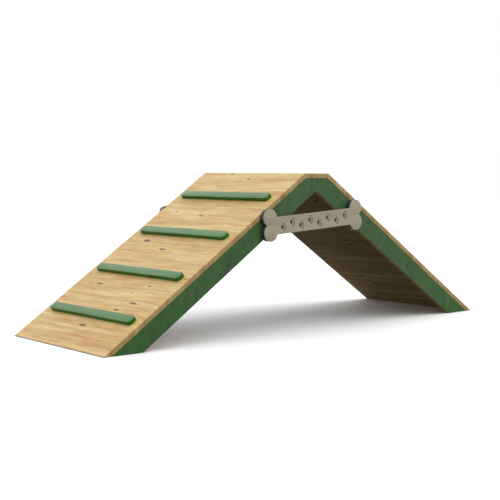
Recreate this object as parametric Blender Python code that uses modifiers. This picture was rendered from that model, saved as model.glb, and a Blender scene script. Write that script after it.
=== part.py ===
"""Dog climbing house.

Two pine ramps meet in a short flat ridge. Cleats cross each ramp, a side board (cheek) stands under
the near edge, short ridge plates stand under the far edge, and a bone-shaped sign hangs on each side.

Frame: X runs from foot to foot, Y from the near side (-Y) to the far side (+Y), and Z is up.
The origin lies on the ground, midway between the feet and between the sides. Sizes are in metres.

Two helpers are used throughout. Depth is measured square to a ramp's top face, down into the wood.
Side is -1 for the left ramp and +1 for the right one; facing is -1 for the near side and +1 for the far one.
"""
import math

import bmesh
import bpy
from mathutils import Matrix, Vector

# Overall shape
BASE_LENGTH = 3.10
DECK_WIDTH = 1.00
RIDGE_HEIGHT = 0.98
RIDGE_FLAT = 0.20

# Decks and side boards
DECK_THICKNESS = 0.028
CHEEK_THICKNESS = 0.028
CHEEK_DEPTH = 0.115
EDGE_ROUNDING = 0.0015
ROUNDING_STEPS = 2

# Ridge beam, and how far the far ridge plates reach past the sign's end
BEAM_WIDTH = 0.27
BEAM_DEPTH = 0.07
PLATE_PAST_SIGN = 0.058

# Battens in the corners between side boards and decks, and how far they stop short
BATTEN_SIZE = 0.04
BATTEN_FOOT_MARGIN = 0.08
BATTEN_PLATE_MARGIN = 0.02

# Cleats: margins run from a cleat's middle to the ridge edge and to the foot, and from its end to the deck's side
CLEAT_COUNT = 4
CLEAT_RIDGE_MARGIN = 0.2725
CLEAT_FOOT_MARGIN = 0.2895
CLEAT_SIDE_MARGIN = 0.0645
CLEAT_WIDTH = 0.058
CLEAT_HEIGHT = 0.024
CLEAT_CORNER_RADIUS = 0.022
CLEAT_CORNER_STEPS = 5
CLEAT_EDGE_ROUNDING = 0.004
SMOOTH_ANGLE = math.radians(40)

# Bone signs: span between the middles of the two ends, slant, shift to the left, and height over the cheek's free strip
SIGN_SPAN = 0.719
SIGN_TILT = math.radians(3.9)
SIGN_SHIFT = 0.045
SIGN_SEAT = 0.012
SIGN_SHAFT_WIDTH = 0.105
SIGN_CORE_THICKNESS = 0.031
SIGN_SKIN_THICKNESS = 0.003
LOBE_RADIUS = 0.052
LOBE_OVERLAP = 0.014
LOBE_LIFT = 0.006
LOBE_STEPS = 18

# Paw prints cut through the sign's skin, in a trail that walks along the shaft
PAW_COUNT = 8
PAW_MARGIN = 0.10
PAW_STAGGER = 0.012
PAD_LENGTH = 0.021
PAD_WIDTH = 0.027
TOE_LENGTH = 0.013
TOE_WIDTH = 0.0088
TOE_REACH = 0.0245
TOE_ANGLES = (-57.0, -19.0, 19.0, 57.0)
TOE_TURN_SHARE = 0.5
PAD_SETBACK = 0.008
PAD_STEPS = 14
TOE_STEPS = 8

# Wood screws, and the wood left over their tips
SCREW_RADIUS = 0.0023
SCREW_HEAD_RADIUS = 0.0046
SCREW_HEAD_DEPTH = 0.003
SCREW_TIP_COVER = 0.008
SCREW_SIDES = 10
CLEAT_SCREW_COUNT = 2
CLEAT_SCREW_INSET = 0.16
RIDGE_SCREW_COUNT = 2
RIDGE_SCREW_INSET = 0.14
SIGN_SCREW_SPREAD = 0.035

# Clearances: between neighbours, round a screw, and the recess over a sunk head
GAP = 0.0003
SCREW_CLEARANCE = 0.0003
HOLE_MOUTH = 0.002
RECESS_LENGTH = 0.02
MERGE_DISTANCE = 0.00001

# Sizes that follow
SLOPE = math.atan2(RIDGE_HEIGHT, (BASE_LENGTH - RIDGE_FLAT) / 2)
SIN = math.sin(SLOPE)
COS = math.cos(SLOPE)
HALF_TURN = math.tan(SLOPE / 2)
RUN = RIDGE_HEIGHT / SIN
HALF_WIDTH = DECK_WIDTH / 2
CHEEK_TOP = DECK_THICKNESS + GAP
CHEEK_BOTTOM = DECK_THICKNESS + CHEEK_DEPTH
BEAM_BOTTOM = RIDGE_HEIGHT - DECK_THICKNESS - BEAM_DEPTH
INNER_HALF_WIDTH = HALF_WIDTH - CHEEK_THICKNESS - GAP
FREE_STRIP = DECK_THICKNESS + (BATTEN_SIZE + CHEEK_DEPTH) / 2
MITRE_GAP = GAP / 2 / math.cos(SLOPE / 2)
CLEAT_PITCH = (RUN - CLEAT_RIDGE_MARGIN - CLEAT_FOOT_MARGIN) / (CLEAT_COUNT - 1)
CLEAT_LENGTH = DECK_WIDTH - 2 * CLEAT_SIDE_MARGIN
SIGN_ENDS = tuple(-SIGN_SHIFT + end * SIGN_SPAN / 2 * math.cos(SIGN_TILT) for end in (-1, 1))
PLATE_LENGTH = (max(map(abs, SIGN_ENDS)) + PLATE_PAST_SIGN - RIDGE_FLAT / 2 + CHEEK_BOTTOM * SIN) / COS

# Names of the sides
SIDES = {-1: "left", 1: "right"}
FACES = {-1: "near", 1: "far"}

# Finishes: colour, roughness, metallic
PINE = ((0.66, 0.47, 0.26), 0.55, 0.0)
GREEN = ((0.055, 0.125, 0.045), 0.5, 0.0)
BEIGE = ((0.36, 0.30, 0.22), 0.5, 0.0)
NAVY = ((0.022, 0.030, 0.040), 0.4, 0.0)
ZINC = ((0.6, 0.6, 0.58), 0.4, 1.0)


def height_at(depth, reach):
    """Height of the plane at a depth below a ramp's top face, at a distance from the middle."""
    return RIDGE_HEIGHT - (reach - RIDGE_FLAT / 2) * math.tan(SLOPE) - depth / COS


def reach_at(depth, height):
    """Distance from the middle at which the plane at a depth comes down to a height."""
    return RIDGE_FLAT / 2 + (RIDGE_HEIGHT - height - depth / COS) / math.tan(SLOPE)


def foot_at(depth):
    """Distance down the slope at which the plane at a depth meets the ground."""
    return (RIDGE_HEIGHT - depth * COS) / SIN


def ramp_matrix(side):
    """Frame of a ramp: origin on its ridge edge, X down the slope, Z out of its top face."""
    turn = 0.0 if side > 0 else math.pi
    place = Matrix.Translation((side * RIDGE_FLAT / 2, 0, RIDGE_HEIGHT))
    return place @ Matrix.Rotation(turn, 4, 'Z') @ Matrix.Rotation(SLOPE, 4, 'Y')


def standing(across, along=0.0, height=0.0, tilt=0.0):
    """Frame of a plate that stands in the XZ plane: its X along X, its Y up, its middle at Y = across."""
    place = Matrix.Translation((along, across, height))
    return place @ Matrix.Rotation(math.pi / 2, 4, 'X') @ Matrix.Rotation(tilt, 4, 'Z')


def evaluated_mesh(piece):
    """The mesh of an object as its modifiers or its curve leave it."""
    bpy.context.view_layer.update()
    return bpy.data.meshes.new_from_object(piece.evaluated_get(bpy.context.evaluated_depsgraph_get()))


def dress(piece, finish):
    """Gives an object a material of its own."""
    colour, roughness, metallic = finish
    material = bpy.data.materials.new(piece.name)
    material.use_nodes = True
    shader = material.node_tree.nodes["Principled BSDF"]
    shader.inputs["Base Color"].default_value = (*colour, 1.0)
    shader.inputs["Roughness"].default_value = roughness
    shader.inputs["Metallic"].default_value = metallic
    piece.data.materials.append(material)


def place_mesh(name, mesh, frame, parent, finish):
    """Adds a finished mesh to the house at a frame, under a parent if it has one."""
    piece = bpy.data.objects.new(name, mesh)
    house.objects.link(piece)
    piece.parent = parent
    piece.matrix_basis = frame
    dress(piece, finish)
    return piece


def plate(name, outlines, thickness, frame, parent, finish):
    """Flat plate cut to an outline in its own XY plane. Outlines after the first are openings."""
    curve = bpy.data.curves.new(name, 'CURVE')
    curve.dimensions = '2D'
    curve.fill_mode = 'BOTH'
    curve.extrude = thickness / 2
    for points in outlines:
        spline = curve.splines.new('POLY')
        spline.points.add(len(points) - 1)
        spline.use_cyclic_u = True
        for corner, (along, up) in zip(spline.points, points):
            corner.co = (along, up, 0, 1)
    guide = bpy.data.objects.new(name + "_outline", curve)
    guides.objects.link(guide)
    mesh = evaluated_mesh(guide)
    bpy.data.objects.remove(guide)
    shape = bmesh.new()
    shape.from_mesh(mesh)
    bmesh.ops.remove_doubles(shape, verts=shape.verts, dist=MERGE_DISTANCE)
    bmesh.ops.recalc_face_normals(shape, faces=shape.faces)
    shape.to_mesh(mesh)
    shape.free()
    return place_mesh(name, mesh, frame, parent, finish)


def ease(piece, picked):
    """Rounds the straight edges that a test picks, given the ends of each edge."""
    mesh = piece.data
    weights = mesh.attributes.new("bevel_weight_edge", 'FLOAT', 'EDGE')
    for edge in mesh.edges:
        start, end = (mesh.vertices[index].co for index in edge.vertices)
        weights.data[edge.index].value = 1.0 if picked(start, end) else 0.0
    rounding = piece.modifiers.new("eased_edges", 'BEVEL')
    rounding.limit_method = 'WEIGHT'
    rounding.width = EDGE_ROUNDING
    rounding.segments = ROUNDING_STEPS


def turned_mesh(profile, sides):
    """Closed mesh turned about Z from (radius, height) pairs that run down its outer side."""
    mesh = bpy.data.meshes.new("profile")
    edges = [(index, index + 1) for index in range(len(profile) - 1)]
    mesh.from_pydata([(radius, 0.0, height) for radius, height in profile], edges, [])
    guide = bpy.data.objects.new("profile", mesh)
    guides.objects.link(guide)
    turn = guide.modifiers.new("turned", 'SCREW')
    turn.steps = sides
    turn.render_steps = sides
    turn.use_merge_vertices = True
    turn.merge_threshold = MERGE_DISTANCE
    turned = evaluated_mesh(guide)
    bpy.data.objects.remove(guide)
    return turned


def screw_profile(length):
    """Countersunk screw from its head's flat top, at height 0, to its tip."""
    return [
        (0, 0),
        (SCREW_HEAD_RADIUS, 0),
        (SCREW_RADIUS, -SCREW_HEAD_DEPTH),
        (SCREW_RADIUS, -length),
        (0, -length),
    ]


def hole_profile(length, mouth):
    """Hole for the screw of that length, open for the length of its mouth over the head."""
    head = SCREW_HEAD_RADIUS + SCREW_CLEARANCE
    shank = SCREW_RADIUS + SCREW_CLEARANCE
    return [
        (0, mouth),
        (head, mouth),
        (head, 0),
        (shank, -SCREW_HEAD_DEPTH),
        (shank, -length - SCREW_CLEARANCE),
        (0, -length - SCREW_CLEARANCE),
    ]


def screws(names, length, places):
    """Equal screws, one to each name and place."""
    pattern = turned_mesh(screw_profile(length), SCREW_SIDES)
    for name, place in zip(names, places, strict=True):
        place_mesh(name, pattern.copy(), place, None, ZINC)
    bpy.data.meshes.remove(pattern)


def holes(name, groups):
    """Cutter with a hole for each screw of the groups (length, places, mouth)."""
    shape = bmesh.new()
    for length, places, mouth in groups:
        pattern = turned_mesh(hole_profile(length, mouth), SCREW_SIDES)
        for place in places:
            before = len(shape.verts)
            shape.from_mesh(pattern)
            shape.verts.ensure_lookup_table()
            bmesh.ops.transform(shape, matrix=place, verts=shape.verts[before:])
        bpy.data.meshes.remove(pattern)
    mesh = bpy.data.meshes.new(name)
    shape.to_mesh(mesh)
    shape.free()
    cutter = bpy.data.objects.new(name, mesh)
    guides.objects.link(cutter)
    cutter.hide_render = True
    cutter.display_type = 'WIRE'
    return cutter


def drill(pieces, cutter):
    """Cuts the cutter's holes into each of the pieces."""
    for piece in pieces:
        cut = piece.modifiers.new(cutter.name, 'BOOLEAN')
        cut.operation = 'DIFFERENCE'
        cut.solver = 'EXACT'
        cut.object = cutter


def spread(first, last, count):
    """Evenly spaced values from first to last."""
    return [first + (last - first) * index / (count - 1) for index in range(count)]


def ramp_deck(name, parent):
    """Deck of a ramp: mitred against the ridge deck and cut flat on the ground, its top edges eased."""
    outline = [
        (MITRE_GAP, 0),
        (foot_at(0), 0),
        (foot_at(DECK_THICKNESS), -DECK_THICKNESS),
        (MITRE_GAP + DECK_THICKNESS * HALF_TURN, -DECK_THICKNESS),
    ]
    deck = plate(name, [outline], DECK_WIDTH, standing(0), parent, PINE)
    ease(deck, lambda start, end: abs(start.y) < GAP and abs(end.y) < GAP and abs(start.z - end.z) < GAP)
    return deck


def ridge_deck():
    """Short flat deck on the ridge, mitred against both ramp decks."""
    top = RIDGE_FLAT / 2 - MITRE_GAP
    bottom = top - DECK_THICKNESS * HALF_TURN
    low = RIDGE_HEIGHT - DECK_THICKNESS
    outline = [(-top, RIDGE_HEIGHT), (top, RIDGE_HEIGHT), (bottom, low), (-bottom, low)]
    deck = plate("ridge_deck", [outline], DECK_WIDTH, standing(0), None, PINE)
    ease(deck, lambda start, end: min(start.y, end.y) > low + GAP and abs(start.z - end.z) < GAP)
    return deck


def side_board(name, side, facing, end_points):
    """Half of a side board: it follows the underside of the ridge and a ramp, and meets its twin in the middle."""
    middle = GAP / 2
    outline = [
        (middle, height_at(CHEEK_BOTTOM, middle)),
        *end_points,
        (RIDGE_FLAT / 2 - CHEEK_TOP * HALF_TURN, RIDGE_HEIGHT - CHEEK_TOP),
        (middle, RIDGE_HEIGHT - CHEEK_TOP),
    ]
    outline = [(side * along, up) for along, up in outline]
    across = facing * (HALF_WIDTH - CHEEK_THICKNESS / 2)
    board = plate(name, [outline], CHEEK_THICKNESS, standing(across), None, GREEN)
    low = [point for point in outline if point[1] <= height_at(CHEEK_BOTTOM, abs(point[0])) + GAP]

    def on_low_edge(start, end):
        """True for an edge that runs along the board's lower face."""
        ends = [any(math.dist((spot.x, spot.y), point) < GAP for point in low) for spot in (start, end)]
        return all(ends) and abs(start.z - end.z) < GAP

    ease(board, on_low_edge)
    return board


def cheek(side, side_name):
    """Near side board, which runs down to the ground."""
    foot = [(reach_at(CHEEK_BOTTOM, 0), 0), (reach_at(CHEEK_TOP, 0), 0)]
    return side_board(f"near_{side_name}_cheek", side, -1, foot)


def ridge_plate(side, side_name):
    """Far side board, which ends square to the ramp just past the sign."""
    end = [ramp_matrix(1) @ Vector((PLATE_LENGTH, 0, -depth)) for depth in (CHEEK_BOTTOM, CHEEK_TOP)]
    return side_board(f"far_{side_name}_ridge_plate", side, 1, [(point.x, point.z) for point in end])


def ridge_beam():
    """Beam under the ridge, from side board to side board, its flanks cut to carry the decks."""
    depth = DECK_THICKNESS + GAP
    half = BEAM_WIDTH / 2
    right = [
        (RIDGE_FLAT / 2 - depth * HALF_TURN, RIDGE_HEIGHT - depth),
        (half, height_at(depth, half)),
        (half, BEAM_BOTTOM),
    ]
    left = [(-along, up) for along, up in reversed(right)]
    return plate("ridge_beam", [right + left], 2 * INNER_HALF_WIDTH, standing(0), None, PINE)


def box_mesh(length, width, height):
    """Box about its own middle."""
    shape = bmesh.new()
    bmesh.ops.create_cube(shape, size=1.0, matrix=Matrix.Diagonal((length, width, height, 1.0)))
    mesh = bpy.data.meshes.new("box")
    shape.to_mesh(mesh)
    shape.free()
    return mesh


def batten(name, side, facing, parent):
    """Batten in the corner between a side board and a deck, from the ridge beam down."""
    depth = DECK_THICKNESS + GAP + BATTEN_SIZE
    start = (BEAM_WIDTH / 2 + GAP - RIDGE_FLAT / 2 + depth * SIN) / COS
    stop = foot_at(depth) - BATTEN_FOOT_MARGIN if facing < 0 else PLATE_LENGTH - BATTEN_PLATE_MARGIN
    across = side * facing * (INNER_HALF_WIDTH - BATTEN_SIZE / 2)
    frame = Matrix.Translation(((start + stop) / 2, across, -DECK_THICKNESS - GAP - BATTEN_SIZE / 2))
    return place_mesh(name, box_mesh(stop - start, BATTEN_SIZE, BATTEN_SIZE), frame, parent, PINE)


def round_edges(shape, edges, radius, steps):
    """Rounds edges of a mesh that is being made."""
    bmesh.ops.bevel(shape, geom=edges, offset=radius, segments=steps, profile=0.5, affect='EDGES')


def cleat_places():
    """Distances of the cleats' middles down the slope."""
    return [CLEAT_RIDGE_MARGIN + CLEAT_PITCH * index for index in range(CLEAT_COUNT)]


def cleat_mesh():
    """Cleat with rounded corners and an eased upper rim."""
    mesh = box_mesh(CLEAT_WIDTH, CLEAT_LENGTH, CLEAT_HEIGHT)
    shape = bmesh.new()
    shape.from_mesh(mesh)
    upright = [edge for edge in shape.edges if abs(edge.verts[0].co.z - edge.verts[1].co.z) > GAP]
    round_edges(shape, upright, CLEAT_CORNER_RADIUS, CLEAT_CORNER_STEPS)
    rim = [edge for edge in shape.edges if min(corner.co.z for corner in edge.verts) > CLEAT_HEIGHT / 2 - GAP]
    round_edges(shape, rim, CLEAT_EDGE_ROUNDING, ROUNDING_STEPS)
    shape.to_mesh(mesh)
    shape.free()
    mesh.shade_smooth()
    mesh.set_sharp_from_angle(angle=SMOOTH_ANGLE)
    return mesh


def cleats(side_name, parent):
    """The cleats of one ramp, counted from the ridge."""
    mesh = cleat_mesh()
    row = []
    for index, along in enumerate(cleat_places()):
        frame = Matrix.Translation((along, 0, GAP + CLEAT_HEIGHT / 2))
        row.append(place_mesh(f"{side_name}_cleat_{index + 1}", mesh.copy(), frame, parent, GREEN))
    return row


def arc(centre, start, stop):
    """Points on a lobe's circle from one angle to another, both ends left in."""
    turn = spread(start, stop, LOBE_STEPS)
    return [(centre[0] + LOBE_RADIUS * math.cos(angle), centre[1] + LOBE_RADIUS * math.sin(angle)) for angle in turn]


def bone_outline():
    """Outline of the bone: a straight shaft with two round lobes at each end, which meet in a notch."""
    rise = LOBE_RADIUS - LOBE_OVERLAP / 2
    notch = math.asin(rise / LOBE_RADIUS)
    upper = math.asin((SIGN_SHAFT_WIDTH / 2 - rise - LOBE_LIFT) / LOBE_RADIUS)
    lower = math.asin((SIGN_SHAFT_WIDTH / 2 - rise + LOBE_LIFT) / LOBE_RADIUS)
    high = (SIGN_SPAN / 2, LOBE_LIFT + rise)
    low = (SIGN_SPAN / 2, LOBE_LIFT - rise)
    right = arc(low, -math.pi + lower, notch) + arc(high, -notch, math.pi - upper)[1:]
    left = [(-along, up) for along, up in reversed(right)]
    return right + left


def ellipse(centre, length, width, turn, steps):
    """Points round an ellipse whose length lies at an angle."""
    points = []
    for angle in (2 * math.pi * step / steps for step in range(steps)):
        along = length / 2 * math.cos(angle)
        across = width / 2 * math.sin(angle)
        x = centre[0] + along * math.cos(turn) - across * math.sin(turn)
        y = centre[1] + along * math.sin(turn) + across * math.cos(turn)
        points.append((x, y))
    return points


def paw_outlines():
    """Pads and toes of the paw prints, which walk from left to right."""
    outlines = []
    middles = spread(-SIGN_SPAN / 2 + PAW_MARGIN, SIGN_SPAN / 2 - PAW_MARGIN, PAW_COUNT)
    for index, along in enumerate(middles):
        pad = (along - PAD_SETBACK, PAW_STAGGER * (1 if index % 2 else -1))
        outlines.append(ellipse(pad, PAD_LENGTH, PAD_WIDTH, 0.0, PAD_STEPS))
        for angle in map(math.radians, TOE_ANGLES):
            toe = (pad[0] + TOE_REACH * math.cos(angle), pad[1] + TOE_REACH * math.sin(angle))
            outlines.append(ellipse(toe, TOE_LENGTH, TOE_WIDTH, angle * TOE_TURN_SHARE, TOE_STEPS))
    return outlines


def free_height(along):
    """Height of the middle of the side board's strip that no batten covers."""
    return height_at(FREE_STRIP, abs(along))


def sign(name, facing):
    """Bone sign on one side: a skin with the paw prints over a thick core. Gives back the core."""
    height = sum(map(free_height, SIGN_ENDS)) / 2 + SIGN_SEAT
    core_across = facing * (HALF_WIDTH + GAP + SIGN_CORE_THICKNESS / 2)
    skin_across = facing * (HALF_WIDTH + 2 * GAP + SIGN_CORE_THICKNESS + SIGN_SKIN_THICKNESS / 2)
    bone = bone_outline()
    core_frame = standing(core_across, -SIGN_SHIFT, height, SIGN_TILT)
    skin_frame = standing(skin_across, -SIGN_SHIFT, height, SIGN_TILT)
    plate(f"{name}_sign_face", [bone] + paw_outlines(), SIGN_SKIN_THICKNESS, skin_frame, None, BEIGE)
    return plate(f"{name}_sign_core", [bone], SIGN_CORE_THICKNESS, core_frame, None, NAVY)


def under(along, across, depth):
    """Place of a screw that is driven up, square into a ramp, from a depth below its top face."""
    return Matrix.Translation((along, across, -depth)) @ Matrix.Rotation(math.pi, 4, 'X')


def outward(facing, point):
    """Place of a screw that is driven sideways, towards a side, from a point in world space."""
    return Matrix.Translation(point) @ Matrix.Rotation(facing * math.pi / 2, 4, 'X')


def cleat_screws(side):
    """Screws driven up through a deck into its cleats: their length, places and hole mouth."""
    ends = CLEAT_LENGTH / 2 - CLEAT_SCREW_INSET
    row = spread(-ends, ends, CLEAT_SCREW_COUNT)
    frame = ramp_matrix(side)
    places = [frame @ under(along, across, DECK_THICKNESS) for along in cleat_places() for across in row]
    return DECK_THICKNESS + GAP + CLEAT_HEIGHT - SCREW_TIP_COVER, places, HOLE_MOUTH


def beam_screws(side):
    """Screws driven from the ridge beam's lower face square into a ramp's deck, their heads sunk."""
    flank_start = DECK_THICKNESS * HALF_TURN
    flank_end = (BEAM_WIDTH / 2 - RIDGE_FLAT / 2 + DECK_THICKNESS * SIN) / COS
    along = (flank_start + flank_end) / 2
    sunk = SCREW_HEAD_RADIUS * math.tan(SLOPE) + SCREW_HEAD_DEPTH
    depth = (RIDGE_HEIGHT - along * SIN - BEAM_BOTTOM) / COS - sunk
    ends = INNER_HALF_WIDTH - RIDGE_SCREW_INSET
    row = spread(-ends, ends, RIDGE_SCREW_COUNT)
    places = [ramp_matrix(side) @ under(along, across, depth) for across in row]
    return depth - SCREW_TIP_COVER, places, RECESS_LENGTH


def ridge_screws():
    """Screws driven straight up through the ridge beam into the ridge deck."""
    ends = RIDGE_SCREW_INSET
    turn = Matrix.Rotation(math.pi, 4, 'X')
    row = spread(-ends, ends, RIDGE_SCREW_COUNT)
    places = [Matrix.Translation((0, across, BEAM_BOTTOM)) @ turn for across in row]
    return BEAM_DEPTH + DECK_THICKNESS - SCREW_TIP_COVER, places, HOLE_MOUTH


def sign_screws(facing):
    """Screws driven outwards through the side boards into the sign's core, two at each of its ends."""
    across = facing * (HALF_WIDTH - CHEEK_THICKNESS)
    places = []
    for middle in SIGN_ENDS:
        for along in (middle - SIGN_SCREW_SPREAD / 2, middle + SIGN_SCREW_SPREAD / 2):
            places.append(outward(facing, (along, across, free_height(along))))
    return CHEEK_THICKNESS + GAP + SIGN_CORE_THICKNESS - SCREW_TIP_COVER, places, HOLE_MOUTH


def numbered(stem, count):
    """Names with a number from 1 up."""
    return [f"{stem}_{index + 1}" for index in range(count)]


def build_ramp(side, side_name, beam):
    """Deck, cleats and battens of one ramp, with the screws that hold them."""
    ramp = bpy.data.objects.new(f"{side_name}_ramp", None)
    house.objects.link(ramp)
    ramp.matrix_world = ramp_matrix(side)
    deck = ramp_deck(f"{side_name}_deck", ramp)
    row = cleats(side_name, ramp)
    for facing, face_name in FACES.items():
        batten(f"{face_name}_{side_name}_batten", side, facing, ramp)
    to_cleats = cleat_screws(side)
    to_deck = beam_screws(side)
    drill([deck, beam] + row, holes(f"{side_name}_slope_holes", [to_cleats, to_deck]))
    cleat_names = [name for cleat in row for name in numbered(f"{cleat.name}_screw", CLEAT_SCREW_COUNT)]
    screws(cleat_names, to_cleats[0], to_cleats[1])
    screws(numbered(f"{side_name}_deck_beam_screw", RIDGE_SCREW_COUNT), to_deck[0], to_deck[1])


def build_side(facing, face_name, board_of):
    """Side boards and sign of one side, with the screws that hold the sign."""
    boards = [board_of(side, side_name) for side, side_name in SIDES.items()]
    core = sign(face_name, facing)
    to_sign = sign_screws(facing)
    drill(boards + [core], holes(f"{face_name}_sign_holes", [to_sign]))
    screws(numbered(f"{face_name}_sign_screw", len(to_sign[1])), to_sign[0], to_sign[1])


def build():
    """Builds the house: ridge, ramps and sides, each with its screws and their holes."""
    beam = ridge_beam()
    top = ridge_deck()
    upright = ridge_screws()
    drill([beam, top], holes("ridge_holes", [upright]))
    screws(numbered("ridge_deck_beam_screw", RIDGE_SCREW_COUNT), upright[0], upright[1])
    for side, side_name in SIDES.items():
        build_ramp(side, side_name, beam)
    build_side(-1, FACES[-1], cheek)
    build_side(1, FACES[1], ridge_plate)


for old in list(bpy.data.objects):
    bpy.data.objects.remove(old)
house = bpy.data.collections.new("dog_climbing_house")
guides = bpy.data.collections.new("guides")
for group in (house, guides):
    bpy.context.scene.collection.children.link(group)
build()
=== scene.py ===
"""Looks of a dog climbing house: pine ramps, green cleats and side boards, and two bone signs.

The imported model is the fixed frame. Boards that have the right shape in it stay and get their finish here;
cleats, battens, signs and screws are made again as finer surfaces on the same places.

Frame: X runs from foot to foot, Y from the near side (-Y) to the far side (+Y), Z is up, in metres.
"""
import logging
import math
from dataclasses import dataclass, field
from enum import Enum
from functools import reduce
from typing import Iterable, Sequence

import bmesh
import bpy
import numpy as np
from mathutils import Matrix, Vector
from mathutils.geometry import tessellate_polygon


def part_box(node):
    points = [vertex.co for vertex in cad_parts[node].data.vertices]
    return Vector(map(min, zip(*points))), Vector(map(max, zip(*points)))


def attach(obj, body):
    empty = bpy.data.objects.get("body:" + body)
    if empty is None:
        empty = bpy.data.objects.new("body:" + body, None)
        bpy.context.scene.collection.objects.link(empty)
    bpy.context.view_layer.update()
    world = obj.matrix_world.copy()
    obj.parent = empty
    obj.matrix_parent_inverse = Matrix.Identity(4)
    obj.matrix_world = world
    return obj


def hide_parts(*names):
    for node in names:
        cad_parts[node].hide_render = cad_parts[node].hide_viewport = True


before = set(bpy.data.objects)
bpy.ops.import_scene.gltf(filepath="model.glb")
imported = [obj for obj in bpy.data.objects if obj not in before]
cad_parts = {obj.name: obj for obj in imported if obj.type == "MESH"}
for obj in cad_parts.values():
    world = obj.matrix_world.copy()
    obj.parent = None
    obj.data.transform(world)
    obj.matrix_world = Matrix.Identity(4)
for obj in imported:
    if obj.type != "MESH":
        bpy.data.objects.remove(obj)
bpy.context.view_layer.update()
LOG = logging.getLogger("dog_climbing_house")

Triple = tuple[float, float, float]
Socket = bpy.types.NodeSocket
Source = Socket | float | Sequence[float]
# Bumps in a metre each way, octaves of finer noise, and the strength of each octave against the one before
Noise = tuple[Triple, float, float]
# Bumps in a metre each way, and how far the noise moves a place each way
Shake = tuple[Triple, Triple]
# Where a step starts and ends, and its values there
Step = tuple[float, float, float, float]

ALONG_X = (1.0, 0.0, 0.0)
ALONG_Y = (0.0, 1.0, 0.0)
UP = (0.0, 0.0, 1.0)


class Option(Enum):
    """An option whose name the pieces carry."""

    @property
    def word(self) -> str:
        """The option's name in small letters."""
        return self.name.lower()


class Side(Option):
    """Which ramp a piece belongs to. The value is the sign of its X."""

    LEFT = -1
    RIGHT = 1


class Facing(Option):
    """Which long side of the house a piece belongs to. The value is the sign of its Y."""

    NEAR = -1
    FAR = 1


@dataclass(frozen=True)
class House:
    """Sizes that several sub-assemblies share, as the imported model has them."""

    base_length: float = 3.10
    deck_width: float = 1.00
    ridge_height: float = 0.98
    ridge_flat: float = 0.20
    deck_thickness: float = 0.028
    sign_tilt: float = math.radians(3.9)
    oil_depth: float = 0.012

    @property
    def slope(self) -> float:
        """Angle of a ramp to the ground."""
        return math.atan2(self.ridge_height, (self.base_length - self.ridge_flat) / 2)

    @property
    def half_width(self) -> float:
        """Distance from the middle to either long side."""
        return self.deck_width / 2

    def ramp_turn(self, side: Side) -> Matrix:
        """Turn of a ramp's own frame, which has X down the slope and Z out of its top face."""
        about = 0.0 if side is Side.RIGHT else math.pi
        return Matrix.Rotation(about, 4, 'Z') @ Matrix.Rotation(self.slope, 4, 'Y')


HOUSE = House()


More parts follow.
